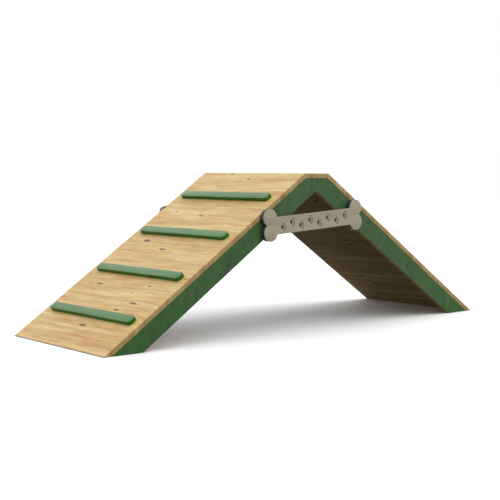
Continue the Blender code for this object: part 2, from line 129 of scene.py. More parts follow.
class Graph:
    """Writes the nodes of a material."""

    def __init__(self, tree: bpy.types.NodeTree) -> None:
        """Takes over a node tree."""
        self.tree = tree

    def fill(self, node: bpy.types.Node, inputs: dict[str | int, Source]) -> None:
        """Feeds a node's inputs: a socket is linked, and a value is set on the input itself.

        Args:
            node: the node.
            inputs: what each input gets, by name or index.
        """
        for key, source in inputs.items():
            target = node.inputs[key]
            if isinstance(source, Socket):
                self.tree.links.new(source, target)
            else:
                target.default_value = (*source, 1.0) if target.type == 'RGBA' else source

    def node(self, kind: str, inputs: dict[str | int, Source], **settings: object) -> bpy.types.Node:
        """Adds a node.

        Args:
            kind: the node's type name, after ShaderNode.
            inputs: what each input gets, by name or index.
            settings: properties to set on the node.

        Returns:
            The node.
        """
        made = self.tree.nodes.new('ShaderNode' + kind)
        for name, value in settings.items():
            setattr(made, name, value)
        self.fill(made, inputs)
        return made

    def math(self, operation: str, *values: Source) -> Socket:
        """Result of a math node."""
        return self.node('Math', dict(enumerate(values)), operation=operation).outputs[0]

    def times(self, *values: Source) -> Source:
        """Product of values, taken from left to right."""
        return reduce(lambda left, right: self.math('MULTIPLY', left, right), values)

    def vector(self, operation: str, *values: Source) -> Socket:
        """Result of a vector math node, which is a number for LENGTH and DOT_PRODUCT."""
        node = self.node('VectorMath', dict(enumerate(values)), operation=operation)
        return node.outputs['Value' if operation in ('LENGTH', 'DOT_PRODUCT') else 'Vector']

    def reach(self, away: Source, factors: Triple) -> Socket:
        """Length of a vector whose parts are first multiplied by factors."""
        return self.vector('LENGTH', self.vector('MULTIPLY', away, factors))

    def parts(self, vector: Source) -> tuple[Socket, ...]:
        """The three parts of a vector."""
        return tuple(self.node('SeparateXYZ', {0: vector}).outputs)

    def joined(self, *parts: Source) -> Socket:
        """A vector from three parts."""
        return self.node('CombineXYZ', dict(enumerate(parts))).outputs[0]

    def place(self) -> Socket:
        """The piece's own coordinates, in metres."""
        return self.node('TexCoord', {}).outputs['Object']

    def noise(
        self, place: Socket, factors: Triple, detail: float, rough: float, output: str = 'Fac'
    ) -> Socket:
        """Noise from 0 to 1 about 0.5, as a number or as the output Color.

        Args:
            place: the vector that it is read at.
            factors: bumps in a metre along each part of the vector.
            detail: octaves of finer noise.
            rough: strength of each octave against the one before.
            output: which output is taken.

        Returns:
            The noise.
        """
        scaled = self.vector('MULTIPLY', place, factors)
        inputs = {'Vector': scaled, 'Scale': 1.0, 'Detail': detail, 'Roughness': rough}
        return self.node('TexNoise', inputs).outputs[output]

    def shaken(self, place: Socket, factors: Triple, reach: Triple) -> Socket:
        """Moves a place about by noise.

        Args:
            place: the place.
            factors: bumps in a metre along each part of it.
            reach: how far it moves in all, half of it either way.

        Returns:
            The moved place.
        """
        moved = self.noise(place, factors, 2.0, 0.5, 'Color')
        back = tuple(-part / 2 for part in reach)
        return self.vector('ADD', place, self.vector('MULTIPLY_ADD', moved, reach, back))

    def linear(
        self, value: Source, low: float, high: float, start: Source = 0, end: Source = 1, way: str = 'LINEAR'
    ) -> Socket:
        """Value carried in a straight line from start at low to end at high, and held beyond."""
        inputs = {'Value': value, 'From Min': low, 'From Max': high, 'To Min': start, 'To Max': end}
        return self.node('MapRange', inputs, interpolation_type=way).outputs['Result']

    def smooth(self, value: Source, low: float, high: float, start: float = 0.0, end: float = 1.0) -> Socket:
        """Value carried in a smooth step from start at low to end at high, and held beyond."""
        return self.linear(value, low, high, start, end, 'SMOOTHSTEP')

    def pulse(self, value: Source, start: float, full: float, fall: float, end: float) -> Socket:
        """Value that rises from 0 at start to 1 at full and falls back from fall to end, in smooth steps."""
        return self.times(self.smooth(value, start, full), self.smooth(value, fall, end, 1.0, 0.0))

    def blend(self, share: Source, first: Source, second: Source, kind: str = 'MIX') -> Socket:
        """Colour between two colours."""
        inputs = {'Factor': share, 6: first, 7: second}
        return self.node('Mix', inputs, data_type='RGBA', blend_type=kind).outputs[2]

    def coat(self, under: Source, over: Source, *shares: Source) -> Socket:
        """A colour laid over another, as strong as the product of the shares."""
        return self.blend(self.times(*shares), under, over)

    def tint(self, colour: Source, factors: Source) -> Socket:
        """A colour whose parts are multiplied by factors."""
        return self.blend(1.0, colour, factors, 'MULTIPLY')

    def brushed(self, colour: Source, fibre: Source, low: float, high: float) -> Socket:
        """A colour made darker and lighter by fibres, between two factors."""
        factor = self.linear(fibre, 0.25, 0.75, low, high)
        return self.tint(colour, self.joined(factor, factor, factor))

    def ramp(self, value: Socket, *stops: tuple[float, Triple]) -> Socket:
        """Colour read from a ramp.

        Args:
            value: where the ramp is read.
            stops: places and colours, in rising order.

        Returns:
            The colour.
        """
        node = self.node('ValToRGB', {'Fac': value})
        band = node.color_ramp
        while len(band.elements) < len(stops):
            band.elements.new(1.0)
        for element, (place, colour) in zip(band.elements, stops):
            element.position = place
            element.color = (*colour, 1.0)
        return node.outputs['Color']

    def bump(self, height: Source, depth: float, strength: float) -> Socket:
        """Normal of a relief whose depth is in metres."""
        inputs = {'Strength': strength, 'Distance': depth, 'Height': height}
        return self.node('Bump', inputs).outputs['Normal']


@dataclass(frozen=True)
class Finish:
    """The finish of a piece."""

    name: str

    def surface(self, graph: Graph) -> dict[str, Source]:
        """What the shader's inputs get, by name. Each kind of finish writes its own."""
        raise NotImplementedError

    def material(self) -> bpy.types.Material:
        """Makes the material.

        Returns:
            The material, with its Principled shader fed.
        """
        material = bpy.data.materials.new(self.name)
        material.use_nodes = True
        graph = Graph(material.node_tree)
        graph.fill(material.node_tree.nodes['Principled BSDF'], self.surface(graph))
        return material


@dataclass(frozen=True)
class Axes:
    """How a piece's coordinates turn into grain coordinates: across the grain, along it, and into the wood.

    Each row is the direction of one grain coordinate, and each offset is added to it.
    bow bends the grain: it adds that much, times the square of the along coordinate, to the across one.
    """

    across: Triple
    along: Triple
    into: Triple
    offsets: Triple
    bow: float = 0.0

    def write(self, graph: Graph) -> Socket:
        """Writes the nodes of the grain coordinates.

        Args:
            graph: the material's graph.

        Returns:
            The grain coordinates.
        """
        place = graph.place()
        rows = zip((self.across, self.along, self.into), self.offsets)
        found = [graph.math('ADD', graph.vector('DOT_PRODUCT', place, row), offset) for row, offset in rows]
        if self.bow:
            found[0] = graph.math('MULTIPLY_ADD', graph.times(found[1], found[1]), self.bow, found[0])
        return graph.joined(*found)


@dataclass(frozen=True)
class Mark:
    """A knot or a streak in the wood, as an ellipsoid about a place in grain coordinates."""

    across: float
    along: float
    wide: float
    long: float
    strength: float
    into: float = 0.0
    deep: float = 0.02

    def seen_from(self, graph: Graph, place: Socket) -> tuple[Socket, Socket]:
        """The way from its middle to a place, and that way's length, which is 1 on the ellipsoid's rim."""
        away = graph.vector('SUBTRACT', place, (self.across, self.along, self.into))
        return away, graph.reach(away, (1 / self.wide, 1 / self.long, 1 / self.deep))


def marks(*rows: Sequence[float], into: float = 0.0, deep: float = 20.0) -> tuple[Mark, ...]:
    """Marks from rows of across, along, half width, half length and strength, lengths in millimetres."""
    return tuple(Mark(*(size / 1000 for size in row[:4]), row[4], into / 1000, deep / 1000) for row in rows)


@dataclass(frozen=True)
class GrowthLines:
    """Growth lines: the across coordinate cut into repeats that darken slowly and end sharply, in patches.

    count is lines in a metre, wander how many repeats a slow noise moves them, edges the shares of a repeat
    at which a line starts, is full and has ended, patches the bumps in a metre of the patches that show them,
    and shown the noise at which a patch starts and is full.
    """

    count: float
    wander: float
    strength: float
    edges: Triple
    patches: Triple
    shown: tuple[float, float] = (0.42, 0.62)

    def write(self, graph: Graph, place: Socket) -> Socket:
        """Writes the nodes of the lines.

        Args:
            graph: the material's graph.
            place: bent grain coordinates.

        Returns:
            The lines, from 0 to their strength.
        """
        across = graph.parts(place)[0]
        spacing = graph.noise(graph.joined(across, 0.0, self.count), (7.0, 1.0, 1.0), 0.0, 0.5)
        moved = graph.math('MULTIPLY_ADD', across, self.count, graph.times(spacing, self.wander))
        start, full, end = self.edges
        line = graph.pulse(graph.math('FRACT', moved), start, full, full, end)
        shown = graph.smooth(graph.noise(place, self.patches, 2.0, 0.5), *self.shown)
        return graph.times(line, shown, self.strength)


@dataclass(frozen=True)
class Grain:
    """What a wood's figure gives at each point: grain coordinates, nearest knot, tones, lines and marks."""

    place: Source
    distance: Source
    offset: Source
    power: Source
    tone: Source
    line: Source
    vein: Source
    fibre: Source
    streak: Source
    pale: Source


@dataclass(frozen=True)
class Wood(Finish):
    """What every wood finish needs: the way of the grain, the marks in it, and the noises of its figure."""

    axes: Axes
    knots: tuple[Mark, ...] = ()
    streaks: tuple[Mark, ...] = ()
    pale: tuple[Mark, ...] = ()
    shake: Shake = ((14.0, 6.0, 14.0), (0.018, 0.05, 0.0))
    knot_shake: Shake = ((85.0, 40.0, 85.0), (0.010, 0.030, 0.0))
    bends: tuple[tuple[Triple, float], ...] = (
        ((2.6, 0.9, 4.0), 0.085), ((9.0, 4.5, 9.0), 0.022), ((45.0, 10.0, 45.0), 0.005)
    )
    bands: Noise = ((17.0, 0.75, 6.0), 4.0, 0.62)
    clouds: Noise = ((46.0, 5.5, 20.0), 3.0, 0.6)
    veins: Noise = ((190.0, 4.0, 60.0), 2.0, 0.6)
    fibres: Noise = ((520.0, 16.0, 520.0), 2.0, 0.6)
    close_lines: GrowthLines = GrowthLines(95.0, 9.0, 0.6, (0.25, 0.86, 0.99), (9.0, 1.4, 3.0))
    wide_lines: GrowthLines = GrowthLines(31.0, 6.0, 0.8, (0.45, 0.90, 0.98), (5.0, 1.9, 4.0))
    band_strength: float = 0.8
    cloud_strength: float = 0.55
    knot_push: float = -0.6
    most: float = 0.85
    relief_depth: float = 0.0004

    def nearest_knot(self, graph: Graph, place: Socket) -> tuple[Source, Source, Source]:
        """Finds the nearest knot of each point.

        Args:
            graph: the material's graph.
            place: grain coordinates.

        Returns:
            Its distance, which is 1 on its rim, the offset from its middle, and its strength.
        """
        distance: Source = 100.0
        offset: Source = (0.0, 0.0, 0.0)
        power: Source = 0.0
        for knot in self.knots:
            away, reach = knot.seen_from(graph, place)
            nearer = graph.math('LESS_THAN', reach, distance)
            distance = graph.math('MINIMUM', reach, distance)
            offset = graph.node('Mix', {'Factor': nearer, 4: offset, 5: away}, data_type='VECTOR').outputs[1]
            power = graph.linear(nearer, 0.0, 1.0, power, knot.strength)
        return distance, offset, power

    @staticmethod
    def sum_of(graph: Graph, place: Socket, found: Iterable[Mark]) -> Source:
        """Sum of soft marks: each adds its strength x (1 - a smooth step of its distance).

        Args:
            graph: the material's graph.
            place: grain coordinates.
            found: the marks.

        Returns:
            The sum, or 0 when there are no marks.
        """
        amount: Source = 0.0
        for mark in found:
            share = graph.smooth(mark.seen_from(graph, place)[1], 0.0, 1.0, mark.strength, 0.0)
            amount = graph.math('ADD', share, amount)
        return amount

    def grain(self, graph: Graph) -> Grain:
        """Writes the nodes of the wood's figure.

        The across coordinate is bent by three noises and pushed aside by the nearest knot. Tone is slow noise
        drawn out along the grain, with clouds in it. Line is the stronger of close and wide growth lines.
        Vein and fibre are finer noises, drawn out further.

        Args:
            graph: the material's graph.

        Returns:
            The figure.
        """
        place = self.axes.write(graph)
        shaken = graph.shaken(place, *self.shake)
        distance, offset, power = self.nearest_knot(graph, graph.shaken(place, *self.knot_shake))
        across, along, into = graph.parts(place)
        near_knot = graph.smooth(distance, 0.6, 4.5, 1.0, 0.0)
        bent = graph.math('ADD', across, graph.times(graph.parts(offset)[0], near_knot, self.knot_push))
        for factors, reach in self.bends:
            bent = graph.math('MULTIPLY_ADD', graph.noise(place, factors, 1.0, 0.5), reach, bent)
        bent_place = graph.joined(bent, along, into)
        bands, clouds, vein, fibre = (
            graph.noise(bent_place, *noise) for noise in (self.bands, self.clouds, self.veins, self.fibres)
        )
        tone = graph.math('MULTIPLY_ADD', bands, self.band_strength, (1 - self.band_strength) / 2)
        tone = graph.math('MULTIPLY_ADD', graph.math('SUBTRACT', clouds, 0.5), self.cloud_strength, tone)
        lines = [lines.write(graph, bent_place) for lines in (self.close_lines, self.wide_lines)]
        marked = [self.sum_of(graph, shaken, found) for found in (self.streaks, self.pale)]
        line = graph.math('MAXIMUM', *lines)
        return Grain(place, distance, offset, power, tone, line, vein, fibre, *marked)

    def relief(self, graph: Graph, grain: Grain) -> Socket:
        """Bump of planed wood: growth lines stand proud and fibres are drawn in between."""
        height = graph.math('MULTIPLY_ADD', grain.fibre, 0.6, graph.times(grain.line, 0.5))
        return graph.bump(height, self.relief_depth, 0.5)


@dataclass(frozen=True)
class Pine(Wood):
    """Planed pine under a thin clear oil: soft tones along the grain, amber streaks, knots with pale eyes."""

    dark: Triple = (0.515, 0.295, 0.095)
    middle: Triple = (0.625, 0.415, 0.157)
    light: Triple = (0.715, 0.55, 0.247)
    amber: Triple = (0.49, 0.205, 0.045)
    cream: Triple = (0.765, 0.635, 0.33)
    knot_core: Triple = (0.21, 0.085, 0.024)
    knot_rim: Triple = (0.06, 0.026, 0.010)
    edge_tint: Triple = (0.93, 0.95, 1.04)
    # Painted shade: the underside is multiplied darker and greyer, and lighter near the floor, as painted
    # light thrown up from the floor
    under_tint: Triple = (0.51, 0.57, 0.70)
    under_low_tint: Triple = (1.16, 1.26, 1.50)
    # Painted contact shadow: a dark line on the oiled faces in their lowest few millimetres, where the foot
    # meets the floor
    foot_line: Triple = (0.055, 0.052, 0.048)
    line_strength: float = 0.55
    streak_by_vein: Step = (0.42, 0.62, 0.35, 1.85)
    pale_by_vein: Step = (0.40, 0.62, 1.3, 0.45)
    eye_by_vein: Step = (0.36, 0.60, 1.0, 0.35)
    eye_size: Triple = (38.0, 13.0, 38.0)
    tail_size: Triple = (170.0, 9.0, 38.0)
    ring_noise: Noise = ((60.0, 22.0, 60.0), 2.0, 0.5)
    ring_wander: float = 3.4
    ring_count: float = 0.85
    heart_rings: float = 21.0
    roughness: float = 0.5
    gloss: float = 0.5
    oil_depth: float | None = None

    def colour(self, graph: Graph, grain: Grain) -> Socket:
        """Colour of the bare wood.

        Args:
            graph: the material's graph.
            grain: the wood's figure.

        Returns:
            The colour.
        """
        wood = graph.ramp(grain.tone, (0.34, self.dark), (0.5, self.middle), (0.66, self.light))
        wood = graph.coat(wood, self.amber, grain.line, self.line_strength)
        wood = graph.brushed(wood, grain.fibre, 0.90, 1.08)
        for amount, by_vein, over in (
            (grain.streak, self.streak_by_vein, self.amber),
            (grain.pale, self.pale_by_vein, self.cream),
        ):
            share = graph.times(amount, graph.smooth(grain.vein, *by_vein))
            wood = graph.coat(wood, over, graph.math('MINIMUM', share, self.most))
        return self.with_knots(graph, grain, wood) if self.knots else wood

    def with_knots(self, graph: Graph, grain: Grain, wood: Socket) -> Socket:
        """Colour with the knots in it.

        Round a knot lie a pale eye, the wood's lines as repeats of the distance, pale and then amber, and a
        thin amber tail along the grain. The knot is a heart with fine rings and a dark rim.

        Args:
            graph: the material's graph.
            grain: the wood's figure.
            wood: colour of the wood without them.

        Returns:
            The colour.
        """
        distance, power = grain.distance, grain.power
        wander = graph.times(graph.noise(grain.place, *self.ring_noise), self.ring_wander)
        repeat = graph.math('FRACT', graph.math('MULTIPLY_ADD', distance, self.ring_count, wander))
        near = graph.times(graph.smooth(distance, 1.1, 3.0, 1.0, 0.0), power)
        eye = graph.smooth(graph.reach(grain.offset, self.eye_size), 0.15, 1.0, 0.75, 0.0)
        tail = graph.smooth(graph.reach(grain.offset, self.tail_size), 0.1, 1.0, 0.6, 0.0)
        fine = graph.linear(graph.math('SINE', graph.times(distance, self.heart_rings)), -1.0, 1.0, 0.0, 0.35)
        heart = graph.blend(fine, self.knot_core, self.knot_rim)
        for over, *shares in (
            (self.cream, eye, power, graph.smooth(grain.vein, *self.eye_by_vein)),
            (self.cream, graph.pulse(repeat, 0.05, 0.35, 0.4, 0.75), near, 0.5),
            (self.amber, graph.pulse(repeat, 0.66, 0.88, 0.88, 1.0), near, 0.6),
            (self.amber, tail, power),
            (heart, graph.smooth(distance, 0.55, 1.25, 1.0, 0.0), power),
            (self.knot_rim, graph.pulse(distance, 0.55, 0.85, 0.85, 1.1), power, 0.3),
        ):
            wood = graph.coat(wood, over, *shares)
        return wood

    def weathered_and_shaded(self, graph: Graph, wood: Socket, sunk: Socket, dry: Socket) -> Socket:
        """Colour of a board that lies outdoors, with painted shade: duller edges, a painted contact shadow
        along the foot, and a painted shade on the underside that is lighter near the floor, as painted light
        thrown up from it.

        Args:
            graph: the material's graph.
            wood: colour of the bare wood.
            sunk: depth below the top face.
            dry: 0 in the oiled top and 1 below it.

        Returns:
            The colour.
        """
        wood = graph.blend(dry, wood, graph.tint(wood, self.edge_tint))
        # Painted shade on the underside, turning to painted bounce light towards the floor
        under = graph.smooth(sunk, HOUSE.deck_thickness - 0.0012, HOUSE.deck_thickness - 0.0004)
        height = graph.parts(graph.place())[2]
        tint = graph.blend(graph.smooth(height, 0.05, 0.50), self.under_low_tint, self.under_tint)
        wood = graph.blend(under, wood, graph.tint(wood, tint))
        # Painted contact shadow along the foot, on the oiled faces only
        oiled = graph.math('SUBTRACT', 1.0, dry)
        return graph.coat(wood, self.foot_line, graph.smooth(height, 0.003, 0.0065, 0.9, 0.0), oiled)

    def surface(self, graph: Graph) -> dict[str, Source]:
        """Writes the nodes of the finish.

        Args:
            graph: the material's graph.

        Returns:
            What the shader's inputs get.
        """
        grain = self.grain(graph)
        wood = self.colour(graph, grain)
        rough = graph.math('MULTIPLY_ADD', grain.line, 0.1, self.roughness)
        gloss: Source = self.gloss
        if self.oil_depth is not None:
            sunk = graph.parts(grain.place)[2]
            dry = graph.smooth(sunk, self.oil_depth * 0.4, self.oil_depth)
            rough = graph.math('MULTIPLY_ADD', dry, 0.35, rough)
            gloss = graph.linear(dry, 0.0, 1.0, self.gloss, self.gloss * 0.35)
            wood = self.weathered_and_shaded(graph, wood, sunk, dry)
        normal = self.relief(graph, grain)
        return {'Base Color': wood, 'Roughness': rough, 'Specular IOR Level': gloss, 'Normal': normal}


# Sawn pine that stays out of sight
SAWN = {'gloss': 0.1, 'roughness': 0.75}


@dataclass(frozen=True)
class GreenStain(Wood):
    """Green stain that lets the grain show as darker lines, on the outward face of a board or all round it.

    outward names the long side whose face is stained, where the rest of the board stays bare pine.
    A flag says that the mesh carries a share that is 1 on a cleat's top and 0 down its sides: the top keeps
    full gloss, and the sides lose gloss and get a painted shade, darker and more saturated green.
    """

    base: Triple = (0.052, 0.168, 0.036)
    deep: Triple = (0.028, 0.105, 0.024)
    bright: Triple = (0.060, 0.200, 0.036)
    # Painted shade on a cleat's sides: the stain is multiplied darker and more saturated green, in place of
    # shade and light thrown on them from the pine
    side_painted_shade: Triple = (0.40, 1.03, 0.08)
    # Painted sheen: the stain is blended towards this grey with height, up to the share fade at the ridge, in
    # place of the brighter light higher up
    painted_sheen: Triple = (0.34, 0.35, 0.34)
    fade: float = 0.0
    outward: Facing | None = None
    stain_depth: float = 0.0004
    stain_edge: float = 0.0009
    shaded_sides: bool = False
    roughness: float = 0.42
    gloss: float = 0.5
    relief_depth: float = 0.0003

    def surface(self, graph: Graph) -> dict[str, Source]:
        """Writes the nodes of the finish.

        Args:
            graph: the material's graph.

        Returns:
            What the shader's inputs get.
        """
        grain = self.grain(graph)
        stain = graph.ramp(grain.tone, (0.28, self.deep), (0.5, self.base), (0.72, self.bright))
        stain = graph.coat(stain, self.deep, grain.line, 0.28)
        stain = graph.brushed(stain, grain.fibre, 0.88, 1.10)
        stain = graph.coat(stain, self.deep, graph.math('MINIMUM', grain.streak, self.most))
        if self.knots:
            core = graph.smooth(grain.distance, 0.5, 1.3, 0.8, 0.0)
            stain = graph.coat(stain, tuple(part / 2 for part in self.deep), core, grain.power)
        gloss: Source = self.gloss
        # Painted sheen: the stain turns paler and greyer towards the ridge
        if self.fade:
            height = graph.parts(graph.place())[2]
            painted_sheen = graph.linear(height, 0.05, HOUSE.ridge_height, 0.0, self.fade)
            stain = graph.coat(stain, self.painted_sheen, painted_sheen)
        if self.outward is not None:
            depth = graph.times(graph.parts(graph.place())[1], float(self.outward.value))
            ragged = graph.math('MULTIPLY_ADD', grain.fibre, 0.0006, depth)
            stained_from = HOUSE.half_width - self.stain_depth
            covered = graph.smooth(ragged, stained_from - self.stain_edge, stained_from)
            stain = graph.blend(covered, Pine(self.name, self.axes).colour(graph, grain), stain)
            gloss = graph.linear(covered, 0.0, 1.0, self.gloss * 0.2, self.gloss)
        # Cleats: the top keeps the full stain and gloss, and the sides lose gloss and get a painted shade
        if self.shaded_sides:
            glossy_unshaded_top = graph.node('Attribute', {}, attribute_name='glossy_unshaded_top').outputs['Fac']
            gloss = graph.linear(glossy_unshaded_top, 0.0, 1.0, self.gloss * 0.03, self.gloss)
            stain = graph.blend(glossy_unshaded_top, graph.tint(stain, self.side_painted_shade), stain)
        rough = graph.linear(grain.tone, 0.3, 0.7, self.roughness + 0.06, self.roughness - 0.05)
        normal = self.relief(graph, grain)
        return {'Base Color': stain, 'Roughness': rough, 'Specular IOR Level': gloss, 'Normal': normal}


@dataclass(frozen=True)
class SignSheet(Finish):
    """Sheet that the bone signs are cut from: fine lines along the bone and a faint speckle."""

    colour: Triple
    other: Triple
    roughness: float
    line_strength: float
    relief_depth: float
    brush: Noise = ((6.0, 300.0, 260.0), 3.0, 0.6)
    clouds: Noise = ((22.0, 22.0, 34.0), 2.0, 0.5)
    specks: Noise = ((900.0, 900.0, 900.0), 1.0, 0.5)

    def surface(self, graph: Graph) -> dict[str, Source]:
        """Writes the nodes of the finish.

        Args:
            graph: the material's graph.

        Returns:
            What the shader's inputs get.
        """
        level = {'Vector': graph.place(), 'Rotation': (0.0, HOUSE.sign_tilt, 0.0)}
        turned = graph.node('Mapping', level).outputs[0]
        noises = (self.brush, self.clouds, self.specks)
        brushed, cloud, speck = (graph.noise(turned, *noise) for noise in noises)
        mixed = graph.math('MULTIPLY_ADD', brushed, self.line_strength, graph.times(cloud, 0.35))
        mixed = graph.math('MULTIPLY_ADD', speck, 0.25, mixed)
        share = graph.smooth(mixed, 0.25, 0.75 + self.line_strength / 2)
        return {
            'Base Color': graph.blend(share, self.colour, self.other),
            'Roughness': graph.linear(cloud, 0.3, 0.7, self.roughness - 0.05, self.roughness + 0.05),
            'Normal': graph.bump(graph.math('ADD', brushed, speck), self.relief_depth, 0.4),
        }


@dataclass(frozen=True)
class Zinc(Finish):
    """Zinc plate on the screws: bright metal with cloudy patches."""

    bright: Triple = (0.68, 0.68, 0.66)
    dull: Triple = (0.46, 0.46, 0.45)
    clouds: Noise = ((700.0, 700.0, 700.0), 3.0, 0.5)

    def surface(self, graph: Graph) -> dict[str, Source]:
        """Writes the nodes of the finish.

        Args:
            graph: the material's graph.

        Returns:
            What the shader's inputs get.
        """
        cloud = graph.noise(graph.place(), *self.clouds)
        return {
            'Base Color': graph.blend(graph.smooth(cloud, 0.35, 0.65), self.dull, self.bright),
            'Metallic': 1.0,
            'Roughness': graph.linear(cloud, 0.3, 0.7, 0.42, 0.26),
            'Normal': graph.bump(cloud, 0.0001, 0.3),
        }


def mesh_of(
    name: str,
    points: np.ndarray,
    faces: Sequence[Sequence[int]],
    smooth_angle: float,
    glossy_unshaded_top: np.ndarray | None = None,
) -> bpy.types.Object:
    """Object from points and faces, with its faces pointing out.

    Args:
        name: the object's name.
        points: corners, one row each, in world space.
        faces: corner numbers of each face.
        smooth_angle: edges that turn by less than this many degrees are shaded round.
        glossy_unshaded_top: how far each corner belongs to a cleat's top, which keeps full gloss while the
            sides get a painted shade, if the finish reads it.

    Returns:
        The object, at the origin, linked to the scene.
    """
    mesh = bpy.data.meshes.new(name)
    mesh.from_pydata(points.tolist(), [], faces)
    if glossy_unshaded_top is not None:
        mesh.attributes.new('glossy_unshaded_top', 'FLOAT', 'POINT').data.foreach_set('value', glossy_unshaded_top)
    shape = bmesh.new()
    shape.from_mesh(mesh)
    bmesh.ops.remove_doubles(shape, verts=shape.verts, dist=1e-6)
    bmesh.ops.recalc_face_normals(shape, faces=shape.faces)
    shape.to_mesh(mesh)
    shape.free()
    mesh.shade_smooth()
    mesh.set_sharp_from_angle(angle=math.radians(smooth_angle))
    piece = bpy.data.objects.new(name, mesh)
    bpy.context.scene.collection.objects.link(piece)
    return piece


def strip_faces(rows: int, around: int, first: int = 0) -> list[list[int]]:
    """Quads of a closed strip: rows of points, each row running once round.

    Args:
        rows: number of rows.
        around: points in a row.
        first: number of the first point.

    Returns:
        Corner numbers, one quad a row.
    """
    row, column = np.meshgrid(np.arange(rows - 1), np.arange(around), indexing='ij')
    here = first + row * around + column
    beside = first + row * around + (column + 1) % around
    return np.stack((here, beside, beside + around, here + around), -1).reshape(-1, 4).tolist()


def arc(middle: Sequence[float], radius: float, angles: np.ndarray) -> np.ndarray:
    """Points of a circle: its middle plus radius x (cos, sin) of each angle."""
    return np.array(middle) + radius * np.stack((np.cos(angles), np.sin(angles)), 1)


def turned(points: np.ndarray, angle: float) -> np.ndarray:
    """Points of a plane, turned anticlockwise: (x cos - y sin, x sin + y cos)."""
    (x, y), cosine, sine = points.T, math.cos(angle), math.sin(angle)
    return np.stack((x * cosine - y * sine, x * sine + y * cosine), 1)


def outward_normals(loop: np.ndarray) -> np.ndarray:
    """Normals of a closed outline that runs anticlockwise: its direction at each point, turned a quarter."""
    ahead = np.roll(loop, -1, 0) - np.roll(loop, 1, 0)
    return np.stack((ahead[:, 1], -ahead[:, 0]), 1) / np.linalg.norm(ahead, axis=1, keepdims=True)


def slab(
    outlines: Sequence[np.ndarray], profile: Sequence[tuple[float, float]]
) -> tuple[np.ndarray, list[list[int]]]:
    """Body with flat ends whose wall follows outlines: a profile carried round each of them.

    A point of the wall is outline point - inset x outward normal, raised by the height. The first outline
    is the rim, anticlockwise, and the others are openings, clockwise. The first and last rows are filled.

    Args:
        outlines: closed outlines, one (x, y) row a point.
        profile: (inset, height) of each row of the wall.

    Returns:
        The points and the faces.
    """
    points = []
    faces = []
    first = 0
    ends = ([], [])
    for loop in outlines:
        normals = outward_normals(loop)
        rows = [
            np.column_stack((loop - inset * normals, np.full(len(loop), height))) for inset, height in profile
        ]
        points.extend(rows)
        faces.extend(strip_faces(len(rows), len(loop), first))
        last = first + (len(rows) - 1) * len(loop)
        ends[0].append((rows[0], first))
        ends[1].append((rows[-1], last))
        first = last + len(loop)
    for end in ends:
        numbers = np.concatenate([start + np.arange(len(row)) for row, start in end])
        triangles = tessellate_polygon([[Vector(point) for point in row] for row, _ in end])
        faces.extend([[int(numbers[index]) for index in triangle] for triangle in triangles])
    return np.concatenate(points), faces


def rounded_rectangle(length: float, width: float, radius: float, steps: int) -> np.ndarray:
    """Outline of a rectangle about the origin with round corners, anticlockwise.

    Each corner is an arc whose angle runs on by a quarter turn from corner to corner.

    Args:
        length: its size along x.
        width: its size along y.
        radius: radius of the corners.
        steps: steps in a corner.

    Returns:
        The outline, one (x, y) row a point.
    """
    quarter = np.linspace(0, math.pi / 2, steps + 1)
    x, y = length / 2 - radius, width / 2 - radius
    corners = enumerate(((x, y), (-x, y), (-x, -y), (x, -y)))
    return np.concatenate([arc(middle, radius, quarter + turn * math.pi / 2) for turn, middle in corners])


def finish_piece(piece: bpy.types.Object, material: bpy.types.Material, slot: str, replaced: str) -> None:
    """Dresses a new piece, ties it to the body and says what it stands for.

    Args:
        piece: the new piece.
        material: its material.
        slot: the record's material slot.
        replaced: the node that it replaces.
    """
    piece.data.materials.append(material)
    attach(piece, "root")
    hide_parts(replaced)
    LOG.info("piece %s: %d faces, slot %s, replaces %s", piece.name, len(piece.data.polygons), slot, replaced)


def dress_node(node: str, finish: Finish) -> None:
    """Gives a node of the frame its finish.

    Args:
        node: the node.
        finish: its finish.
    """
    material = finish.material()
    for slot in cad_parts[node].material_slots:
        slot.material = material
    LOG.info("node %s: %s", node, material.name)


def box_middle(node: str) -> Vector:
    """Middle of a node's box."""
    low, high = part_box(node)
    return (low + high) / 2


